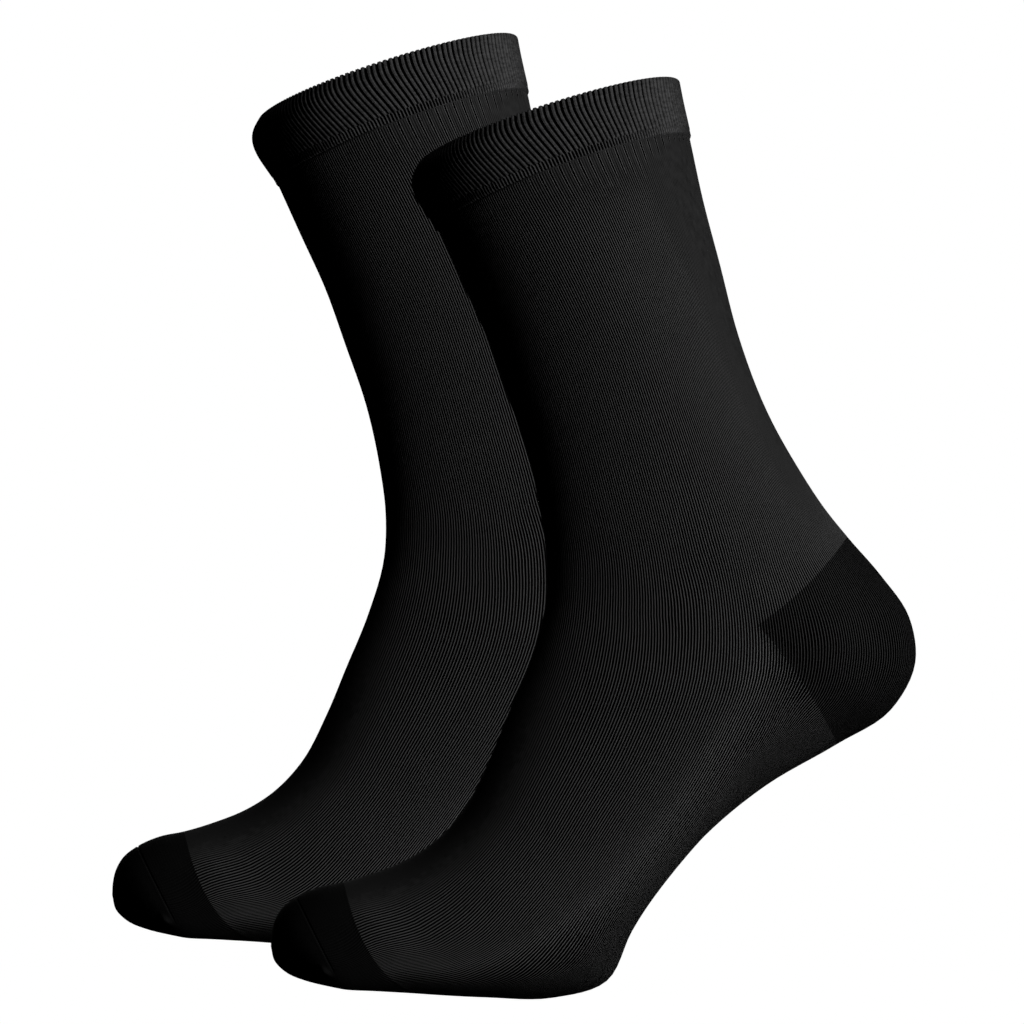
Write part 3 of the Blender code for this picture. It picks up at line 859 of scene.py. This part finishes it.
def ribAngles(down):
    # where the ribs pass: the knit's own lines, and what is left here of the ribs' slide
    shoulder = ribbedCuff["shoulder"]
    place = down / shoulder if down < shoulder else 1 + (down - shoulder) / (1 - shoulder)
    angles = lineAngles(place, allColumns)
    lobe = np.sin(angles + ribbedCuff["driftTurn"])
    way = min(down / ribbedCuff["driftEnd"], 1)
    even = ribbedCuff["driftEven"]
    atBack = eased(turnOf(angles), ribbedCuff["driftBackTurn"], ribbedCuff["driftBackEase"])
    left = (1 - even * way - (1 - even) * smoothStep(way)) * (1 - atBack)
    left = left + (1 - way) ** ribbedCuff["driftBackPower"] * atBack
    return place, angles - ribbedCuff["drift"] * left * lobe * np.abs(lobe)


def cuffRing(down, away, stand, outside):
    place, angles = ribAngles(down)
    ring, outward = skinAt(place, angles)
    height, gaps = roundTheCuff(ribbedCuff["profile"]), roundTheCuff(ribbedCuff["gaps"])
    knob = 0
    if outside:
        turn = turnOf(angles)
        # painted shade: fainter in the gaps further back, over the whole rib and bars at the edge, and
        # on the hem
        atBack = eased(turn, ribbedCuff["backTurn"], ribbedCuff["backEase"])
        onEdge = eased(turn, ribbedCuff["edgeTurn"], ribbedCuff["edgeEase"])
        gaps = gaps * (1 - (1 - ribbedCuff["backGap"]) * atBack) + ribbedCuff["edgeGap"] * onEdge
        barGaps = roundTheCuff(ribbedCuff["barGaps"]) + ribbedCuff["barEdgeGap"] * onEdge
        inFront = 1 - eased(turn, ribbedCuff["hemTurn"], ribbedCuff["hemTurnEase"])
        hemGap = ribbedCuff["hemGap"] + ribbedCuff["hemGapInFront"] * inFront
        inBars = eased(down, ribbedCuff["barsFrom"], ribbedCuff["barsEase"])
        onHem = eased(down, ribbedCuff["barsTo"], ribbedCuff["hemEase"])
        below = roundTheCuff(ribbedCuff["bars"]) * (1 - onHem) + ribbedCuff["hemHeight"] * onHem
        height = height * (1 - inBars) + below * inBars
        gaps = gaps * (1 - inBars) + (barGaps * (1 - onHem) + hemGap * onHem) * inBars
        across = allColumns % len(ribbedCuff["profile"])
        across = np.minimum(across, len(ribbedCuff["profile"]) - across) / ribbedCuff["knobWidth"]
        along = (down - ribbedCuff["knobPlace"]) / ribbedCuff["knobLength"]
        knob = ribbedCuff["knob"] * np.exp(-across ** 2 - along ** 2)
    lift = (ribbedCuff["foot"] + height * ribbedCuff["height"] + knob) * stand
    return ring + outward * (lift + away)[:, None], gaps


def makeCuff():
    path = cuffPath()
    rings, gaps = zip(*[cuffRing(*step) for step in path])
    grid = np.array(rings)
    steps = np.linalg.norm(np.diff(grid[:, corner], axis=0), axis=1)
    stitches = np.concatenate([[0], np.cumsum(steps)]) / ribbedCuff["stitch"]
    ids = ringIds(0, len(path), columnCount)
    coords = knitCoords(np.arange(columnCount + 1), stitches)
    faces = gridFaces(ids, coords, flip=True) + gridFaces(np.stack([ids[0], ids[-1]]), coords[:2])
    return makeMesh("cuff", grid.reshape(-1, 3), np.array(gaps), faces, (ids[0],), ribbedMaterial)


# the pair: each mesh is made once and stands in both socks
clothPieces = {
    # maker, nodes it stands for, slot, flat width and length in metres, area if no rectangle
    "cuff": (makeCuff, ("cuff",), "ribbed_knit", (0.284, 0.022), None),
    "leg_and_foot": (makeLegAndFoot, ("leg", "foot"), "plain_knit", (0.27, 0.37), 0.083),
    "heel": (makeHeel, ("heel",), "dense_knit", (0.11, 0.095), 0.006),
    "toe": (makeToe, ("toe",), "dense_knit", (0.21, 0.05), 0.0072),
}
sockPieces = {side: [] for side in sockForm["places"]}
for name, (make, nodes, slotName, flat, area) in clothPieces.items():
    mesh = make()
    for side, place in sockForm["places"].items():
        piece = bpy.data.objects.new(side + "_" + name + "_knit", mesh)
        bpy.context.scene.collection.objects.link(piece)
        piece.location = place
        sockPieces[side].append(piece)
        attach(piece, "root")
        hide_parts(*[side + "_" + node for node in nodes])
    surface = sum(polygon.area for polygon in mesh.polygons)
    print(name, "made:", len(mesh.polygons), "faces, half surface", round(surface / 2, 5), "m2")

# floor, light and camera
studio = {
    "floorSize": (3.0, 2.0),
    "floorPlace": (0, 0.05),
    "floorBelow": 0.0002,    # under the lowest point
    "floorColour": (0.9, 0.9, 0.9, 1),
    # name: degrees to the right of the camera's line, degrees up, metres away, size, power
    "lamps": {
        "keyLight": (46, 9, 3.0, (1.0, 2.0), 60.0),
        "highLight": (45, 42, 3.0, (1.0, 1.6), 9.0),
        "backLight": (175, 10, 3.0, (2.0, 2.0), 12.0),
    },
    "seenBackground": 1.0,
    "ambient": 0.001,
    "aim": (-0.01267, -0.010, -0.12933),
    "frameWidth": 0.34133,
    "lens": 1600,            # mm, for little perspective; past 1700 the other views clip the socks away
    "sensor": 36,
    "clip": (1.0, 60.0),
}
white = (1, 1, 1, 1)
aim = Vector(studio["aim"])


def areaLight(name, place, aim, size, power):
    data = bpy.data.lights.new(name, "AREA")
    data.shape = "RECTANGLE"
    data.size, data.size_y = size
    data.energy = power
    lamp = bpy.data.objects.new(name, data)
    lamp.location = place
    lamp.rotation_euler = (Vector(aim) - Vector(place)).to_track_quat("-Z", "Y").to_euler()
    bpy.context.scene.collection.objects.link(lamp)
    return lamp


# each sock has its own lamps, so that neither stands in the other's shadow
for side, place in sockForm["places"].items():
    lit = bpy.data.collections.new(side + "Sock")
    for piece in sockPieces[side]:
        lit.objects.link(piece)
    for name, (turn, rise, away, size, power) in studio["lamps"].items():
        turn, rise = math.radians(turn), math.radians(rise)
        way = Vector((math.sin(turn) * math.cos(rise), -math.cos(turn) * math.cos(rise), math.sin(rise)))
        target = aim + Vector(place)
        lamp = areaLight(side + "_" + name, target + way * away, target, size, power)
        lamp.light_linking.receiver_collection = lit
        lamp.light_linking.blocker_collection = lit

world = bpy.data.worlds.new("studioWhite")
bpy.context.scene.world = world
world.use_nodes = True
tree = world.node_tree
tree.nodes.clear()


def background(strength):
    node = tree.nodes.new("ShaderNodeBackground")
    node.inputs["Color"].default_value = white
    node.inputs["Strength"].default_value = strength
    return node.outputs[0]


# the camera sees a white world, which hardly lights the socks
rays = tree.nodes.new("ShaderNodeLightPath")
pick = tree.nodes.new("ShaderNodeMixShader")
output = tree.nodes.new("ShaderNodeOutputWorld")
tree.links.new(rays.outputs["Is Camera Ray"], pick.inputs[0])
tree.links.new(background(studio["ambient"]), pick.inputs[1])
tree.links.new(background(studio["seenBackground"]), pick.inputs[2])
tree.links.new(pick.outputs[0], output.inputs["Surface"])

floorMesh = bpy.data.meshes.new("whiteFloor")
halfX, halfY = studio["floorSize"][0] / 2, studio["floorSize"][1] / 2
floorCorners = [(-halfX, -halfY, 0), (halfX, -halfY, 0), (halfX, halfY, 0), (-halfX, halfY, 0)]
floorMesh.from_pydata(floorCorners, [], [(0, 1, 2, 3)])
floor = bpy.data.objects.new("whiteFloor", floorMesh)
floor.location = (*studio["floorPlace"], cadBox[0].z - studio["floorBelow"])
floorPaint = bpy.data.materials.new("whiteFloor")
floorPaint.use_nodes = True
paint = floorPaint.node_tree.nodes["Principled BSDF"]
paint.inputs["Base Color"].default_value = studio["floorColour"]
paint.inputs["Emission Color"].default_value = white
paint.inputs["Emission Strength"].default_value = 1.0
floorMesh.materials.append(floorPaint)
bpy.context.scene.collection.objects.link(floor)
floor.visible_diffuse = False
floor.visible_glossy = False

camera = bpy.data.objects.new("camera", bpy.data.cameras.new("camera"))
camera.data.lens = studio["lens"]
camera.data.sensor_width = studio["sensor"]
distance = studio["lens"] * studio["frameWidth"] / studio["sensor"]
camera.location = aim - Vector((0, distance, 0))
camera.rotation_euler = (math.pi / 2, 0, 0)
camera.data.clip_start, camera.data.clip_end = studio["clip"]
bpy.context.scene.collection.objects.link(camera)
bpy.context.scene.camera = camera
bpy.context.scene.view_settings.view_transform = "Standard"
print("studio ready")
